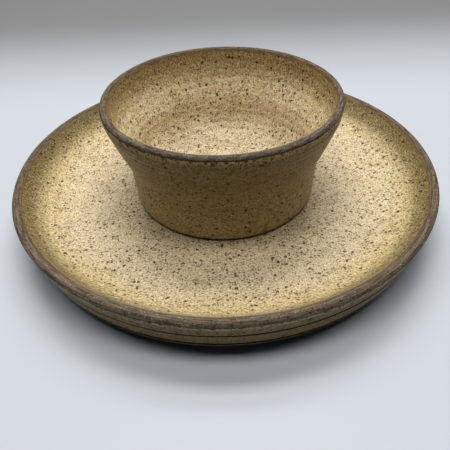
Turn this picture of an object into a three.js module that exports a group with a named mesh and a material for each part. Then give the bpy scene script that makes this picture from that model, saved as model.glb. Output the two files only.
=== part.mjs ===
// Hand-thrown stoneware chip and dip server: a wide, shallow platter for chips, and a flared
// dip bowl that stands in a shallow round seat in the middle of the platter's floor and lifts off.
//
// Millimetres, +Z up. The origin is the middle of the platter's foot ring, on the table.
// Both pieces are turned forms, so each one is an outline of (radius, height) points that runs
// from the axis underneath, out and up over the lip, and back to the axis on the upper side.

import * as THREE from 'three';

// Platter
const PLATTER_RADIUS = 150;
const PLATTER_HEIGHT = 36;
const PLATTER_LIP = 6.1;
const PLATTER_FLOOR = 14.2;
const FLOOR_FLAT_RADIUS = 108;
const WALL_SWEEP = 42;
const WALL_SWEEP_DEGREES = 58.5;
const WALL_BASE_RADIUS = 143;
const WALL_BASE_HEIGHT = 7;
const WALL_BASE_ROUND = 2.5;
const GROOVE_HEIGHTS = [10.2, 20.9];
const GROOVE_DEPTH = 1.1;
const GROOVE_HALF_WIDTH = 1;

// Platter's foot ring and underside
const FOOT_OUTER = 112;
const FOOT_INNER = 100;
const FOOT_CHAMFER = 1.5;
const UNDERSIDE_OUTSIDE_FOOT = 5.5;
const UNDERSIDE_INSIDE_FOOT = 4.5;

// Seat in the platter's floor, and the gap that keeps the bowl's foot just off it
const SEAT_RADIUS = 64.4;
const SEAT_DEPTH = 1.5;
const RESTING_GAP = 0.3;

// Dip bowl
const BOWL_TOP = 89.5;
const BOWL_LIP = 5.2;
const BOWL_RIM_RADIUS = 80.8;
const BOWL_BARREL_RADIUS = 65.8;
const BOWL_FOOT_ROUND = 6;
const BOWL_FOOT_INNER = 51;
const BOWL_FOOT_RECESS = 5;
const BOWL_FLOOR = 27;
const BOWL_CORNER_ROUND = 24;
const BOWL_CORNER_RADIUS = 36.6;

const TURN_SEGMENTS = 72;
const GLAZE = 0xc4a874;

const point = (radius, height) => new THREE.Vector2(radius, height);

// Points along an arc; angles are in degrees, from outward (0) towards up (90).
function arc(centreRadius, centreHeight, size, fromDegrees, toDegrees, steps) {
  const points = [];
  for (let i = 0; i <= steps; i += 1) {
    const angle = THREE.MathUtils.degToRad(fromDegrees + ((toDegrees - fromDegrees) * i) / steps);
    points.push(point(centreRadius + size * Math.cos(angle), centreHeight + size * Math.sin(angle)));
  }
  return points;
}

// The platter's outer wall leans out in a straight line from its base to just under the lip.
function platterWallRadius(height) {
  const lipUnderside = PLATTER_HEIGHT - PLATTER_LIP / 2;
  const share = (height - WALL_BASE_HEIGHT) / (lipUnderside - WALL_BASE_HEIGHT);
  return WALL_BASE_RADIUS + share * (PLATTER_RADIUS - WALL_BASE_RADIUS);
}

// A cut line round the outer wall: in to its deepest point and out again.
function groove(height) {
  return [
    point(platterWallRadius(height - GROOVE_HALF_WIDTH), height - GROOVE_HALF_WIDTH),
    point(platterWallRadius(height) - GROOVE_DEPTH, height),
    point(platterWallRadius(height + GROOVE_HALF_WIDTH), height + GROOVE_HALF_WIDTH),
  ];
}

function platterOutline() {
  const lipRound = PLATTER_LIP / 2;
  const baseRadius = WALL_BASE_RADIUS - WALL_BASE_ROUND;
  const baseHeight = UNDERSIDE_OUTSIDE_FOOT + WALL_BASE_ROUND;
  const sweepHeight = PLATTER_FLOOR + WALL_SWEEP;
  return [
    point(0, UNDERSIDE_INSIDE_FOOT),
    point(FOOT_INNER, UNDERSIDE_INSIDE_FOOT),
    point(FOOT_INNER, FOOT_CHAMFER),
    point(FOOT_INNER + FOOT_CHAMFER, 0),
    point(FOOT_OUTER - FOOT_CHAMFER, 0),
    point(FOOT_OUTER, FOOT_CHAMFER),
    point(FOOT_OUTER, UNDERSIDE_OUTSIDE_FOOT),
    ...arc(baseRadius, baseHeight, WALL_BASE_ROUND, -90, -10, 3),
    ...GROOVE_HEIGHTS.flatMap(groove),
    ...arc(PLATTER_RADIUS - lipRound, PLATTER_HEIGHT - lipRound, lipRound, 0, 145, 5),
    ...arc(FLOOR_FLAT_RADIUS, sweepHeight, WALL_SWEEP, -90 + WALL_SWEEP_DEGREES, -90, 8),
    point(SEAT_RADIUS, PLATTER_FLOOR),
    point(SEAT_RADIUS, PLATTER_FLOOR - SEAT_DEPTH),
    point(0, PLATTER_FLOOR - SEAT_DEPTH),
  ];
}

// The bowl's barrel rises almost straight, turns out at a soft waist and flares to an upright lip.
function bowlOuterWall(underLip) {
  const wall = new THREE.SplineCurve([
    point(BOWL_BARREL_RADIUS, 20),
    point(66.8, 36),
    point(68, 47),
    point(74.5, 64),
    point(80, 80),
    point(BOWL_RIM_RADIUS, underLip),
  ]);
  return wall.getPoints(12);
}

// Inside, the wall drops from the lip to a soft shoulder behind the waist, and then to the floor
// in one round. The round's centre stands at BOWL_CORNER_RADIUS from the axis.
function bowlInnerWall(underLip) {
  const corner = arc(BOWL_CORNER_RADIUS, BOWL_FLOOR + BOWL_CORNER_ROUND, BOWL_CORNER_ROUND, -18, -90, 6);
  const wall = new THREE.SplineCurve([
    point(BOWL_RIM_RADIUS - BOWL_LIP, underLip),
    point(75.2, 79),
    point(72.3, 70.5),
    point(67, 62.5),
    point(62.3, 54),
    corner[0],
  ]);
  return [...wall.getPoints(10), ...corner.slice(1)];
}

function bowlOutline() {
  const foot = PLATTER_FLOOR - SEAT_DEPTH + RESTING_GAP;
  const lipRound = BOWL_LIP / 2;
  const underLip = BOWL_TOP - lipRound;
  return [
    point(0, foot + BOWL_FOOT_RECESS),
    point(BOWL_FOOT_INNER, foot + BOWL_FOOT_RECESS),
    point(BOWL_FOOT_INNER, foot),
    ...arc(BOWL_BARREL_RADIUS - BOWL_FOOT_ROUND, foot + BOWL_FOOT_ROUND, BOWL_FOOT_ROUND, -90, -15, 4),
    ...bowlOuterWall(underLip),
    ...arc(BOWL_RIM_RADIUS - lipRound, underLip, lipRound, 30, 180, 5),
    ...bowlInnerWall(underLip).slice(1),
    point(0, BOWL_FLOOR),
  ];
}

// Turns an outline about the vertical axis.
function turned(name, outline, color) {
  const geometry = new THREE.LatheGeometry(outline, TURN_SEGMENTS);
  geometry.rotateX(Math.PI / 2);
  const material = new THREE.MeshStandardMaterial({ color, roughness: 0.45, metalness: 0 });
  const mesh = new THREE.Mesh(geometry, material);
  mesh.name = name;
  return mesh;
}

const group = new THREE.Group();
group.add(turned('platter', platterOutline(), GLAZE));
group.add(turned('dip_bowl', bowlOutline(), GLAZE));

export default group;
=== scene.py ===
"""Hand-thrown stoneware chip and dip server: the looks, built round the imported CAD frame.

Sizes are in millimetres until a mesh is made, then in metres. Each piece is an outline of
(radius, height) points, turned about the Z axis like the pot it stands for.
"""
import math
from dataclasses import dataclass
from functools import cached_property

import bpy
from mathutils import Matrix, Vector, noise


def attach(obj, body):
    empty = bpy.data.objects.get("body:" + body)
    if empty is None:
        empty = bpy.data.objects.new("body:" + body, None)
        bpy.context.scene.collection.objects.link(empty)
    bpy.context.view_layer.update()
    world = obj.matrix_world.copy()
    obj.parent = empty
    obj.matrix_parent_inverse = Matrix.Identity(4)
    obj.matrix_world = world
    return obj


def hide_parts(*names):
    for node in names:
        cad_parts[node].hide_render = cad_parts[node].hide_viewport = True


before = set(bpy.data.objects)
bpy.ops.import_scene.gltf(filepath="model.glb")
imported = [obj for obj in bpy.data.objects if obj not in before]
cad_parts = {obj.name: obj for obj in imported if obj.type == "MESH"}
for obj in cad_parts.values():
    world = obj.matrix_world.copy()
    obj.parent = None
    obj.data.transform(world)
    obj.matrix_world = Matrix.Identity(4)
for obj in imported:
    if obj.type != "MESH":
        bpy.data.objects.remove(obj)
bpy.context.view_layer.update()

MM = 0.001

# Platter
RIM_RADIUS = 150.0
RIM_HEIGHT = 36.0
LIP = 6.1
FLOOR_HEIGHT = 14.2
FLOOR_FLAT_RADIUS = 108.0
WALL_SWEEP = 42.0
SWEEP_DEGREES = 58.5
WALL_BASE_RADIUS = 143.0
WALL_BASE_HEIGHT = 7.0
WALL_BASE_ROUND = 2.5
GROOVE_HEIGHTS = (10.2, 20.9)
GROOVE_DEPTH = 1.1
GROOVE_HALF_WIDTH = 0.9
FOOT_OUTER = 112.0
FOOT_INNER = 100.0
FOOT_ROUND = 1.5
FOOT_FILLET = 0.8
UNDERSIDE_INSIDE_FOOT = 4.5
UNDERSIDE_OUTSIDE_FOOT = 5.5
SEAT_RADIUS = 64.4
SEAT_DEPTH = 1.5
SEAT_EDGE = 0.5
SEAT_FILLET = 0.3

# Dip bowl
BOWL_TOP = 89.5
BOWL_RIM_RADIUS = 80.8
BOWL_LIP = 5.2
BOWL_WALL = ((65.8, 20.0), (66.8, 36.0), (68.0, 47.0), (74.5, 64.0), (80.0, 80.0), (80.8, 86.9))
BOWL_FOOT = 13.0
BOWL_FOOT_ROUND = 6.0
BOWL_FOOT_INNER = 51.0
BOWL_FOOT_EDGE = 1.0
BOWL_FOOT_FILLET = 1.5
BOWL_UNDERSIDE = 18.0
BOWL_INSIDE = ((75.6, 86.9), (75.2, 79.0), (72.3, 70.5), (67.0, 62.5), (62.3, 54.0))
BOWL_FLOOR = 27.0
BOWL_CORNER = 24.0
BOWL_CORNER_RADIUS = 36.6

# Mesh fineness, and the band either side of the lip's top that has no throwing rings
OUTLINE_STEP = 1.0
PLATTER_SEGMENTS = 420
BOWL_SEGMENTS = 300
LIP_BAND = 4.0

# Camera, in metres, millimetres of lens and degrees
CAMERA_PLACE = (0.0, -0.3008, 0.2322)
CAMERA_LENS = 38.74
CAMERA_TURN = 0.22
CAMERA_DOWN = 40.86
CAMERA_ROLL = -2.32

# Lights: place and size in metres, power in watts. All of them face the server.
LIGHTS = (
    ("back_strip", (0.0, 1.20, 1.65), (1.8, 0.26), 11.0),
    ("middle_strip", (0.0, 0.60, 1.70), (1.4, 0.40), 19.0),
    ("top_strip", (0.0, -0.30, 1.70), (1.4, 0.40), 16.0),
    ("left_fill", (-0.9, 0.3, 0.5), (0.3, 0.3), 0.7),
    ("right_fill", (0.9, 0.3, 0.5), (0.3, 0.3), 0.7),
)
ROOM_COLOUR = (0.8, 0.86, 1.0, 1.0)
ROOM_STRENGTH = 0.02

# Table, in metres: half its width, and where its painted shade starts and ends, greying it towards
# the back
TABLE_HALF = 6.0
TABLE_SHADE_FADE = (0.15, 0.45)


# ---------------------------------------------------------------- outlines

def arc(radius, height, size, start, end, step=6.0):
    """Points on an arc about (radius, height); 0 degrees points outward and 90 points up."""
    count = max(2, round(abs(end - start) / step))
    angles = [math.radians(start + (end - start) * i / count) for i in range(count + 1)]
    return [(radius + size * math.cos(a), height + size * math.sin(a)) for a in angles]


def smooth_line(points, steps=14):
    """A Catmull-Rom line through a few points."""
    line = []
    padded = [points[0], *points, points[-1]]
    for a, b, c, d in zip(padded, padded[1:], padded[2:], padded[3:]):
        for i in range(steps):
            t = i / steps
            line.append(tuple(
                0.5 * (2 * q + (r - p) * t + (2 * p - 5 * q + 4 * r - s) * t ** 2
                       + (3 * q - p - 3 * r + s) * t ** 3)
                for p, q, r, s in zip(a, b, c, d)))
    return line + [points[-1]]


def platter_wall_radius(height):
    """The outer wall leans out in a straight line from its base to just under the lip."""
    share = (height - WALL_BASE_HEIGHT) / (RIM_HEIGHT - LIP / 2 - WALL_BASE_HEIGHT)
    return WALL_BASE_RADIUS + share * (RIM_RADIUS - WALL_BASE_RADIUS)


def groove(height, steps=8):
    """A cut line round the outer wall."""
    points = []
    for i in range(steps + 1):
        across = 2 * i / steps - 1
        depth = GROOVE_DEPTH * 0.5 * (1 + math.cos(math.pi * across))
        level = height + across * GROOVE_HALF_WIDTH
        points.append((platter_wall_radius(level) - depth, level))
    return points


def platter_outline():
    lip = LIP / 2
    inside = UNDERSIDE_INSIDE_FOOT
    outside = UNDERSIDE_OUTSIDE_FOOT
    outline = [(0.0, inside), (FOOT_INNER - FOOT_FILLET, inside), (FOOT_INNER, inside - FOOT_FILLET)]
    outline += arc(FOOT_INNER + FOOT_ROUND, FOOT_ROUND, FOOT_ROUND, 180, 270, 15)
    outline += arc(FOOT_OUTER - FOOT_ROUND, FOOT_ROUND, FOOT_ROUND, 270, 360, 15)
    outline += [(FOOT_OUTER, outside - FOOT_FILLET), (FOOT_OUTER + FOOT_FILLET, outside)]
    outline += arc(WALL_BASE_RADIUS - WALL_BASE_ROUND, outside + WALL_BASE_ROUND,
                   WALL_BASE_ROUND, -90, -10, 10)
    for height in GROOVE_HEIGHTS:
        outline += groove(height)
    outline += arc(RIM_RADIUS - lip, RIM_HEIGHT - lip, lip, 0, 145, 9)
    outline += arc(FLOOR_FLAT_RADIUS, FLOOR_HEIGHT + WALL_SWEEP, WALL_SWEEP,
                   SWEEP_DEGREES - 90, -90, 2)
    outline += arc(SEAT_RADIUS + SEAT_EDGE, FLOOR_HEIGHT - SEAT_EDGE, SEAT_EDGE, 90, 180, 30)
    seat = FLOOR_HEIGHT - SEAT_DEPTH
    outline += [(SEAT_RADIUS, seat + SEAT_FILLET), (SEAT_RADIUS - SEAT_FILLET, seat)]
    return outline + [(0.0, seat)]


def bowl_outline():
    lip = BOWL_LIP / 2
    under_lip = BOWL_TOP - lip
    barrel = BOWL_WALL[0][0]
    edge = BOWL_FOOT_EDGE
    outline = [(0.0, BOWL_UNDERSIDE), (BOWL_FOOT_INNER - BOWL_FOOT_FILLET, BOWL_UNDERSIDE)]
    outline += arc(BOWL_FOOT_INNER + edge, BOWL_FOOT + edge, edge, 180, 270, 30)
    outline += arc(barrel - BOWL_FOOT_ROUND, BOWL_FOOT + BOWL_FOOT_ROUND, BOWL_FOOT_ROUND, -90, -8, 8)
    outline += smooth_line(BOWL_WALL)
    outline += arc(BOWL_RIM_RADIUS - lip, under_lip, lip, 9, 180, 9)
    corner = arc(BOWL_CORNER_RADIUS, BOWL_FLOOR + BOWL_CORNER, BOWL_CORNER, -18, -90, 4)
    outline += smooth_line([*BOWL_INSIDE, corner[0]]) + corner[1:]
    return outline + [(0.0, BOWL_FLOOR)]


def refined(outline):
    """The same outline with no stretch longer than OUTLINE_STEP, and no doubled point."""
    fine = [outline[0]]
    for (r0, z0), (r1, z1) in zip(outline, outline[1:]):
        length = math.hypot(r1 - r0, z1 - z0)
        if length < 0.02:
            continue
        count = math.ceil(length / OUTLINE_STEP)
        for i in range(1, count + 1):
            fine.append((r0 + (r1 - r0) * i / count, z0 + (z1 - z0) * i / count))
    return fine


def distances_from_lip(points):
    """Distance along the outline from its highest point: positive outside, negative inside."""
    run = [0.0]
    for (r0, z0), (r1, z1) in zip(points, points[1:]):
        run.append(run[-1] + math.hypot(r1 - r0, z1 - z0))
    top = run[max(range(len(points)), key=lambda i: points[i][1])]
    return [top - here for here in run]


# ---------------------------------------------------------------- hand-thrown surface

def ring_noise(angle, seed, waves=1.3):
    """Smooth noise round the pot, the same at 0 and 360 degrees, from -1 to 1."""
    return noise.noise(Vector((waves * math.cos(angle), waves * math.sin(angle), seed)))


def platter_hollow(radius, height, distance, angle):
    """How far the hand-thrown platter falls short of its true form, in mm."""
    if radius < SEAT_RADIUS + 2 or height < UNDERSIDE_OUTSIDE_FOOT + 0.5:
        return 0.0
    uneven = 0.25 + 0.22 * ring_noise(angle, 3.1) + 0.08 * ring_noise(angle, 8.7, 4.0)
    if distance < -LIP_BAND:
        rings = 0.09 * math.sin(radius * 0.85 + 1.5 * ring_noise(angle, 1.0) + angle)
        return 0.12 + rings
    if distance > LIP_BAND:
        rings = 0.10 * math.sin(height * 2.1 + ring_noise(angle, 5.0) + angle)
        return uneven * 0.5 + 0.1 + rings
    return uneven


def bowl_hollow(radius, height, distance, angle):
    """How far the hand-thrown bowl falls short of its true form, in mm."""
    if height < BOWL_FOOT + 2 or (distance > 0 and radius < BOWL_FOOT_INNER + 2):
        return 0.0
    uneven = 0.25 + 0.24 * ring_noise(angle, 12.4) + 0.08 * ring_noise(angle, 17.9, 4.0)
    if distance < -LIP_BAND:
        rings = 0.11 * math.sin(distance * 1.05 + 1.2 * ring_noise(angle, 21.0) + angle)
        return 0.14 + rings
    if distance > LIP_BAND:
        rings = 0.12 * math.sin(height * 1.55 + 1.1 * ring_noise(angle, 25.0) + angle)
        return 0.14 + uneven * 0.4 + rings
    return uneven


def turned(name, outline, segments, hollow):
    """A closed mesh of an outline turned about Z, with each point's distance from the lip."""
    points = refined(outline)
    lip = distances_from_lip(points)
    verts = [(0.0, 0.0, points[0][1] * MM)]
    from_lip = [lip[0]]
    for i in range(1, len(points) - 1):
        (ra, za), (radius, height), (rb, zb) = points[i - 1], points[i], points[i + 1]
        length = math.hypot(rb - ra, zb - za)
        out_r = (zb - za) / length
        out_z = (ra - rb) / length
        for k in range(segments):
            angle = 2 * math.pi * k / segments
            depth = hollow(radius, height, lip[i], angle)
            r = (radius - out_r * depth) * MM
            verts.append((r * math.cos(angle), r * math.sin(angle), (height - out_z * depth) * MM))
            from_lip.append(lip[i])
    verts.append((0.0, 0.0, points[-1][1] * MM))
    from_lip.append(lip[-1])
    rings = len(points) - 2
    faces = []
    for k in range(segments):
        after = (k + 1) % segments
        faces.append((0, 1 + after, 1 + k))
        for ring in range(rings - 1):
            low = 1 + ring * segments
            high = low + segments
            faces.append((low + k, low + after, high + after, high + k))
        last = 1 + (rings - 1) * segments
        faces.append((last + k, last + after, len(verts) - 1))
    mesh = bpy.data.meshes.new(name)
    mesh.from_pydata(verts, [], faces)
    mesh.update()
    mesh.shade_smooth()
    mesh.attributes.new("from_lip", "FLOAT", "POINT").data.foreach_set("value", from_lip)
    piece = bpy.data.objects.new(name, mesh)
    bpy.context.scene.collection.objects.link(piece)
    return piece


# ---------------------------------------------------------------- materials

class Look:
    """One material's node tree, wired by short calls. Lengths in it are in millimetres."""

    def __init__(self, name):
        self.material = bpy.data.materials.new(name)
        self.material.use_nodes = True
        self.tree = self.material.node_tree
        self.shader = self.tree.nodes["Principled BSDF"]
        place = self.node("ShaderNodeTexCoord").outputs["Object"]
        self.place = self.vector("SCALE", place, scale=1 / MM)

    @cached_property
    def flat_place(self):
        return self.vector("MULTIPLY", self.place, (1, 1, 0))

    @cached_property
    def radius(self):
        return self.vector("LENGTH", self.flat_place, output="Value")

    @cached_property
    def from_lip(self):
        """Distance down from the lip: positive outside, negative inside."""
        return self.node("ShaderNodeAttribute", attribute_name="from_lip").outputs["Fac"]

    @cached_property
    def bend(self):
        """A small shift of place that keeps the spots from being truly round."""
        made = self.node("ShaderNodeTexNoise")
        self.feed(made.inputs["Vector"], self.place)
        made.inputs["Scale"].default_value = 1.6
        made.inputs["Detail"].default_value = 0.0
        return self.vector("SUBTRACT", made.outputs["Color"], (0.5, 0.5, 0.5))

    def node(self, kind, **settings):
        made = self.tree.nodes.new(kind)
        for key, value in settings.items():
            setattr(made, key, value)
        return made

    def feed(self, socket, value):
        if isinstance(value, bpy.types.NodeSocket):
            self.tree.links.new(value, socket)
        else:
            socket.default_value = value

    def vector(self, operation, a, b=None, scale=None, output="Vector"):
        made = self.node("ShaderNodeVectorMath", operation=operation)
        self.feed(made.inputs[0], a)
        if b is not None:
            self.feed(made.inputs[1], b)
        if scale is not None:
            self.feed(made.inputs["Scale"], scale)
        return made.outputs[output]

    def split(self, value):
        made = self.node("ShaderNodeSeparateXYZ")
        self.feed(made.inputs[0], value)
        return made.outputs

    def math(self, operation, a, b=0.0, c=0.0):
        made = self.node("ShaderNodeMath", operation=operation)
        for socket, value in zip(made.inputs, (a, b, c)):
            self.feed(socket, value)
        return made.outputs[0]

    def times(self, a, b):
        return self.math("MULTIPLY", a, b)

    def scaled(self, value, factor, offset):
        """value times factor, plus offset."""
        return self.math("MULTIPLY_ADD", value, factor, offset)

    def rest_of(self, share):
        """What a share leaves over from 1."""
        return self.math("SUBTRACT", 1.0, share)

    def ramp(self, value, low, high, bottom=0.0, top=1.0):
        """bottom below low, top above high, and a smooth step between them."""
        made = self.node("ShaderNodeMapRange", interpolation_type="SMOOTHSTEP")
        for socket, number in zip(made.inputs, (value, low, high, bottom, top)):
            self.feed(socket, number)
        return made.outputs[0]

    def mix(self, amount, first, second):
        made = self.node("ShaderNodeMix", data_type="RGBA")
        self.feed(made.inputs["Factor"], amount)
        self.feed(made.inputs[6], first)
        self.feed(made.inputs[7], second)
        return made.outputs[2]

    def layered(self, base, layers):
        """The base colour with layers of (amount, colour) laid over it in turn."""
        for amount, colour in layers:
            base = self.mix(amount, base, colour)
        return base

    def noise(self, size, detail=2.0, roughness=0.5, place=None):
        made = self.node("ShaderNodeTexNoise")
        self.feed(made.inputs["Vector"], place or self.place)
        made.inputs["Scale"].default_value = 1 / size
        made.inputs["Detail"].default_value = detail
        made.inputs["Roughness"].default_value = roughness
        return made.outputs["Fac"]

    def spots(self, spacing, low, high, seed, crowd=0.0):
        """How far inside a spot each place is, in shares of the spacing; below 0 is outside.

        Spots lie about spacing apart. Each has its own radius between low and high of that,
        plus crowd, and most are small.
        """
        made = self.node("ShaderNodeTexVoronoi", feature="F1")
        bent = self.vector("SCALE", self.bend, scale=spacing * 0.5)
        place = self.vector("ADD", self.place, bent)
        self.feed(made.inputs["Vector"], self.vector("ADD", place, (seed, 2 * seed, 3 * seed)))
        made.inputs["Scale"].default_value = 1 / spacing
        pick = self.split(made.outputs["Color"])[0]
        size = self.scaled(self.math("POWER", pick, 3.0), high - low, low)
        size = self.math("ADD", size, crowd)
        return self.math("SUBTRACT", size, made.outputs["Distance"])

    def streaks(self, around, across, detail=3.0):
        """Noise drawn out round the axis: around in mm along the turn, across in mm over it."""
        ring = self.vector("SCALE", self.vector("NORMALIZE", self.flat_place), scale=100.0 / around)
        lift = self.node("ShaderNodeCombineXYZ")
        self.feed(lift.inputs["Z"], self.times(self.from_lip, 1 / across))
        return self.noise(1.0, detail, 0.6, self.vector("ADD", ring, lift.outputs[0]))

    def finish(self, colour, roughness, height, relief):
        """Feeds the shader; relief is how many mm the bump's height stands for."""
        self.feed(self.shader.inputs["Base Color"], colour)
        self.feed(self.shader.inputs["Roughness"], roughness)
        self.shader.inputs["Specular IOR Level"].default_value = 0.3
        bump = self.node("ShaderNodeBump")
        bump.inputs["Strength"].default_value = 1.0
        bump.inputs["Distance"].default_value = relief * MM
        self.feed(bump.inputs["Height"], height)
        self.feed(self.shader.inputs["Normal"], bump.outputs[0])
        return self.material


def rgb(red, green, blue):
    """A colour from its 0 to 255 screen values."""
    return tuple(((c / 255 + 0.055) / 1.055) ** 2.4 if c > 10 else c / 255 / 12.92
                 for c in (red, green, blue)) + (1.0,)


# Glaze
STRAW = rgb(214, 190, 134)
CREAM = rgb(220, 200, 160)
OLIVE = rgb(120, 106, 60)
# Painted shade: a dark olive-brown that darkens the outsides of both pieces
PAINTED_SHADE_OLIVE = rgb(112, 93, 42)
RUST = rgb(160, 104, 58)
AMBER = rgb(112, 78, 42)
PALE = rgb(250, 238, 206)
# Iron
SPECK = rgb(54, 25, 8)
IRON = rgb(94, 52, 20)
UMBER = rgb(60, 46, 26)
# Bare clay
TAUPE = rgb(122, 105, 83)
CLAY = rgb(72, 59, 45)
BUFF = rgb(178, 160, 134)
# Table
TABLE_NEAR = (0.555, 0.585, 0.625, 1.0)
# Painted shade: the grey the table turns to at the back
TABLE_PAINTED_SHADE = (0.215, 0.215, 0.215, 1.0)


@dataclass
class Glazing:
    """Where the glaze lies on one piece, in millimetres."""
    outer_edge: float  # how far below the lip it starts outside
    inner_edge: float  # how far below the lip it starts inside
    foot_edge: float  # how far down the outside it stops
    drips: float  # how far its edges stray
    cream_radius: float  # it lies thick and pale within this radius
    thin_and_shade_radius: float  # it runs thinly beyond this radius, and painted shade darkens the walls there
    olive_centre: float  # a more olive tone within this radius
    cut_heights: tuple = ()  # heights of the dark cut lines round the outside


def glaze_tones(look, on, outside, down, grain):
    """Cream where thick, straw between, olive where it ran thinly; painted shade on steep walls and
    outsides.
    """
    drift = look.math("SUBTRACT", look.noise(32.0, 2.0), 0.5)
    wander = look.scaled(drift, 26.0, look.radius)
    thick = look.ramp(wander, on.cream_radius - 14, on.cream_radius + 12, 1.0, 0.0)
    centre = look.ramp(wander, on.olive_centre - 8, on.olive_centre + 8, 0.30, 0.0)
    # Olive towards and past the rims: partly the glaze breaking there, partly painted shade on the
    # steep walls
    thin_and_shaded = look.ramp(look.radius, on.thin_and_shade_radius - 8, on.thin_and_shade_radius + 6)
    # Painted shade down the outside: strongest within 20 mm of the lip, easing to about half by 70 mm
    # down
    painted_outside_shade = look.times(outside, look.ramp(look.from_lip, 20.0, 70.0, 0.95, 0.55))
    beaded = look.times(outside, look.ramp(down, on.outer_edge + 1, on.outer_edge + 5, 0.35, 0.0))
    clouds = look.ramp(look.noise(12.0, 3.0), 0.50, 0.75, 0.0, 0.30)
    border = look.times(look.times(thick, look.rest_of(thick)), look.rest_of(outside))
    patches = look.ramp(look.noise(7.0, 4.0, 0.65), 0.48, 0.70)
    blush = look.times(patches, look.scaled(border, 1.2, 0.20))
    dark_grain = look.ramp(grain, 0.28, 0.50, 0.50, 0.0)
    # Pale grains fade under the painted shade and where the glaze thins
    shade_and_thin = look.math("MAXIMUM", painted_outside_shade, look.times(thin_and_shaded, 0.7))
    pale_grain = look.times(look.ramp(grain, 0.50, 0.74), look.scaled(shade_and_thin, -0.65, 0.75))
    return look.layered(STRAW, (
        (thick, CREAM),
        (centre, OLIVE),
        (look.times(thin_and_shaded, 0.92), OLIVE),
        (painted_outside_shade, PAINTED_SHADE_OLIVE),
        (beaded, STRAW),
        (clouds, OLIVE),
        (blush, RUST),
        (dark_grain, UMBER),
        (pale_grain, PALE),
    ))


def iron_specks(look, on, outside):
    """Specks in four sizes, from pepper to large. The middle two crowd under the lip."""
    under_lip = look.ramp(look.from_lip, on.outer_edge + 2, on.outer_edge + 9, 0.13, -0.02)
    crowd = look.times(under_lip, outside)
    pepper = look.ramp(look.spots(1.0, 0.05, 0.50, 3.0), -0.05, 0.12)
    fine = look.ramp(look.spots(1.5, 0.13, 0.56, 5.0, crowd), -0.05, 0.07)
    middling = look.ramp(look.spots(2.7, 0.09, 0.44, 17.0, crowd), -0.03, 0.04)
    large = look.spots(7.0, -0.05, 0.15, 31.0)
    return pepper, fine, middling, large


def speckled(look, glaze, specks):
    """The glaze with its specks, the largest in a rusty halo."""
    pepper, fine, middling, large = specks
    return look.layered(glaze, (
        (look.times(pepper, 0.45), IRON),
        (look.ramp(large, -0.10, 0.0, 0.0, 0.5), RUST),
        (look.times(fine, 0.75), IRON),
        (look.times(middling, 0.9), SPECK),
        (look.times(look.ramp(large, -0.012, 0.018), 0.92), SPECK),
    ))


def with_cut_lines(look, glaze, on, outside):
    """The glaze with its dark cut lines."""
    height = look.split(look.place)[2]
    for cut_height in on.cut_heights:
        off = look.math("ABSOLUTE", look.math("SUBTRACT", height, cut_height))
        cut = look.ramp(off, GROOVE_HALF_WIDTH * 0.5, GROOVE_HALF_WIDTH * 1.3, 0.85, 0.0)
        glaze = look.mix(look.times(cut, outside), glaze, SPECK)
    return glaze


def bare_clay(look, on, down, fine):
    """Clay streaked along the turn, browned where the glaze begins."""
    streaked = look.mix(look.ramp(look.streaks(9.0, 0.9), 0.35, 0.65), CLAY, TAUPE)
    browned = look.ramp(down, on.outer_edge - 1.6, on.outer_edge - 0.5)
    return look.layered(streaked, (
        (look.ramp(look.noise(1.1, 3.0), 0.58, 0.72, 0.0, 0.55), BUFF),
        (look.times(fine, 0.6), SPECK),
        (look.times(browned, 0.85), UMBER),
    ))


def stoneware(name, on):
    """Speckled satin glaze, laid as on says, over clay that is bare at the lip and the foot."""
    look = Look(name)
    ragged = look.times(look.math("SUBTRACT", look.streaks(5.0, 6.0, 3.0), 0.5), on.drips)
    down = look.math("ADD", look.from_lip, ragged)
    up_inside = look.scaled(ragged, 0.15, look.times(look.from_lip, -1.0))
    footing = look.scaled(ragged, 0.25, look.from_lip)
    outside = look.ramp(look.from_lip, 1.0, 3.0)
    grain = look.noise(1.3, 1.0, 0.8)

    glaze = glaze_tones(look, on, outside, down, grain)
    specks = iron_specks(look, on, outside)
    _, fine, middling, _ = specks
    glaze = speckled(look, glaze, specks)
    glaze = with_cut_lines(look, glaze, on, outside)
    # A dark amber line just inside the lip where the glaze starts: partly the glaze breaking brown,
    # partly painted shadow under the lip's edge
    lip_break_and_shadow = look.times(look.ramp(up_inside, on.inner_edge + 0.4, on.inner_edge + 1.7, 0.75, 0.0),
                            look.ramp(look.from_lip, -0.5, 0.0, 1.0, 0.0))
    glaze = look.mix(lip_break_and_shadow, glaze, AMBER)

    glazed_outside = look.ramp(down, on.outer_edge - 0.3, on.outer_edge + 0.4)
    glazed_inside = look.ramp(up_inside, on.inner_edge - 0.2, on.inner_edge + 0.3)
    above_foot = look.ramp(footing, on.foot_edge - 0.4, on.foot_edge + 0.4, 1.0, 0.0)
    glazed = look.times(look.math("MAXIMUM", glazed_outside, glazed_inside), above_foot)
    colour = look.mix(glazed, bare_clay(look, on, down, fine), glaze)

    roughness = look.scaled(look.noise(6.0, 3.0), 0.16, 0.36)
    roughness = look.scaled(middling, 0.12, roughness)
    roughness = look.scaled(look.rest_of(glazed), 0.30, roughness)
    relief = look.scaled(look.noise(2.6, 2.0), 0.35, look.times(glazed, 0.8))
    relief = look.scaled(grain, 0.25, relief)
    relief = look.scaled(middling, -0.30, relief)
    relief = look.scaled(look.streaks(14.0, 0.8), 0.12, relief)
    return look.finish(colour, roughness, relief, 0.22)


def distance_down(outline, height):
    """How far along the outside, from the lip, the outline passes a height."""
    points = refined(outline)
    for (_, z), distance in zip(points, distances_from_lip(points)):
        if distance > 0 and z >= height:
            return distance
    return 0.0


# ---------------------------------------------------------------- the stage

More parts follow.
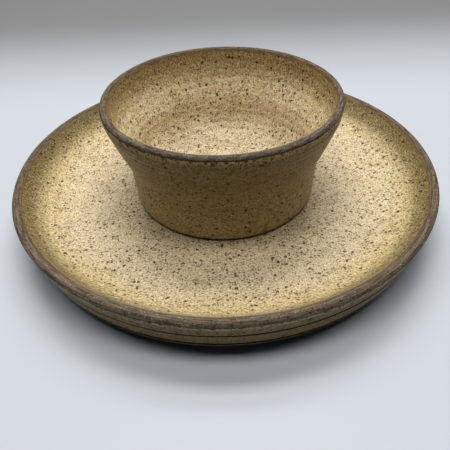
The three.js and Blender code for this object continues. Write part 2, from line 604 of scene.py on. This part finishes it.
def table():
    """A flat, pale table top; painted shade greys it behind the server, as light would fall off."""
    half = TABLE_HALF
    corners = [(-half, -half, 0.0), (half, -half, 0.0), (half, half, 0.0), (-half, half, 0.0)]
    mesh = bpy.data.meshes.new("table")
    mesh.from_pydata(corners, [], [(0, 1, 2, 3)])
    mesh.update()
    look = Look("table_look")
    fade_start, fade_end = TABLE_SHADE_FADE
    # Painted shade: the table top greys towards the back, as the light falls off
    behind = look.ramp(look.split(look.place)[1], fade_start / MM, fade_end / MM)
    look.feed(look.shader.inputs["Base Color"], look.mix(behind, TABLE_NEAR, TABLE_PAINTED_SHADE))
    look.shader.inputs["Roughness"].default_value = 0.6
    mesh.materials.append(look.material)
    top = bpy.data.objects.new("table", mesh)
    bpy.context.scene.collection.objects.link(top)


def soft_light(name, place, size, power):
    """A rectangular light that faces the middle of the table."""
    lamp = bpy.data.lights.new(name, "AREA")
    lamp.shape = "RECTANGLE"
    lamp.size, lamp.size_y = size
    lamp.energy = power
    light = bpy.data.objects.new(name, lamp)
    light.location = place
    light.rotation_euler = (-Vector(place)).to_track_quat("-Z", "Y").to_euler()
    bpy.context.scene.collection.objects.link(light)


def room():
    """A faint, cool light from all round."""
    world = bpy.data.worlds.new("room")
    world.use_nodes = True
    background = world.node_tree.nodes["Background"]
    background.inputs["Color"].default_value = ROOM_COLOUR
    background.inputs["Strength"].default_value = ROOM_STRENGTH
    bpy.context.scene.world = world


def camera():
    """Looks down at the front of the server from about 38 cm away."""
    data = bpy.data.cameras.new("camera")
    data.sensor_width = 36.0
    data.lens = CAMERA_LENS
    view = bpy.data.objects.new("camera", data)
    turn = Matrix.Rotation(math.radians(CAMERA_TURN), 4, "Z")
    tilt = Matrix.Rotation(math.radians(90 - CAMERA_DOWN), 4, "X")
    roll = Matrix.Rotation(math.radians(CAMERA_ROLL), 4, "Z")
    view.matrix_world = Matrix.Translation(CAMERA_PLACE) @ turn @ tilt @ roll
    bpy.context.scene.collection.objects.link(view)
    bpy.context.scene.camera = view


# ---------------------------------------------------------------- build

def add_piece(name, node, outline, segments, hollow, material):
    """Turns an outline into the visual piece of a node's body."""
    piece = turned(name, outline, segments, hollow)
    piece.data.materials.append(material)
    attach(piece, node)
    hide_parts(node)


def add_platter():
    outline = platter_outline()
    glazing = Glazing(outer_edge=6.6, inner_edge=3.6,
                      foot_edge=distance_down(outline, WALL_BASE_HEIGHT + 1.0), drips=4.5,
                      cream_radius=122.0, thin_and_shade_radius=135.5, olive_centre=58.0,
                      cut_heights=GROOVE_HEIGHTS)
    add_piece("platter_body", "platter", outline, PLATTER_SEGMENTS,
              platter_hollow, stoneware("platter_look", glazing))


def add_dip_bowl():
    outline = bowl_outline()
    glazing = Glazing(outer_edge=4.6, inner_edge=3.2,
                      foot_edge=distance_down(outline, BOWL_FOOT + 1.5), drips=2.0,
                      cream_radius=70.0, thin_and_shade_radius=76.0, olive_centre=52.0)
    add_piece("dip_bowl_body", "dip_bowl", outline, BOWL_SEGMENTS,
              bowl_hollow, stoneware("dip_bowl_look", glazing))


bpy.context.scene.view_settings.view_transform = "Standard"
camera()
for light_settings in LIGHTS:
    soft_light(*light_settings)
room()
table()
add_platter()
add_dip_bowl()
